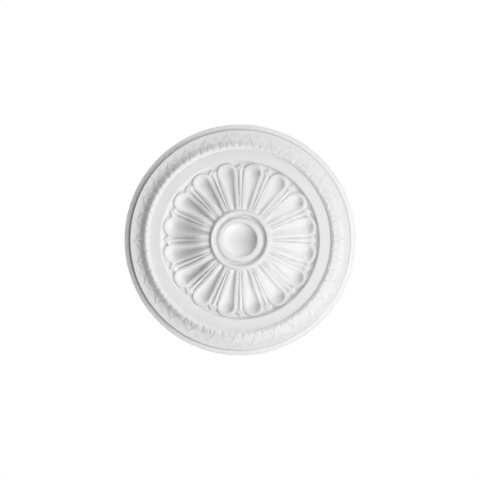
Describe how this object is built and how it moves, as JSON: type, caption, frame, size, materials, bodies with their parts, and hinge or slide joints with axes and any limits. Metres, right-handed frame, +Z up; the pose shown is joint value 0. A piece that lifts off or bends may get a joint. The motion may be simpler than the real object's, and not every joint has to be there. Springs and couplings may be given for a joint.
{
  "type": "ceiling rose",
  "caption": "Round moulded ceiling rose with a dished centre, a ring of scooped petals and a leafed outer moulding, glued flat to a ceiling.",
  "frame": {"origin": "centre of the back, on the ceiling plane that the rose is glued to", "axes": "+Z up into the ceiling along the rose's axis, so the decorated face looks down; X and Y run through the darts between the petals"},
  "size_m": [0.4, 0.4, 0.045],
  "materials": {
    "casting": "matt white primer, ready to paint"
  },
  "bodies": {
    "root": {"rose": "casting"}
  },
  "joints": []
}
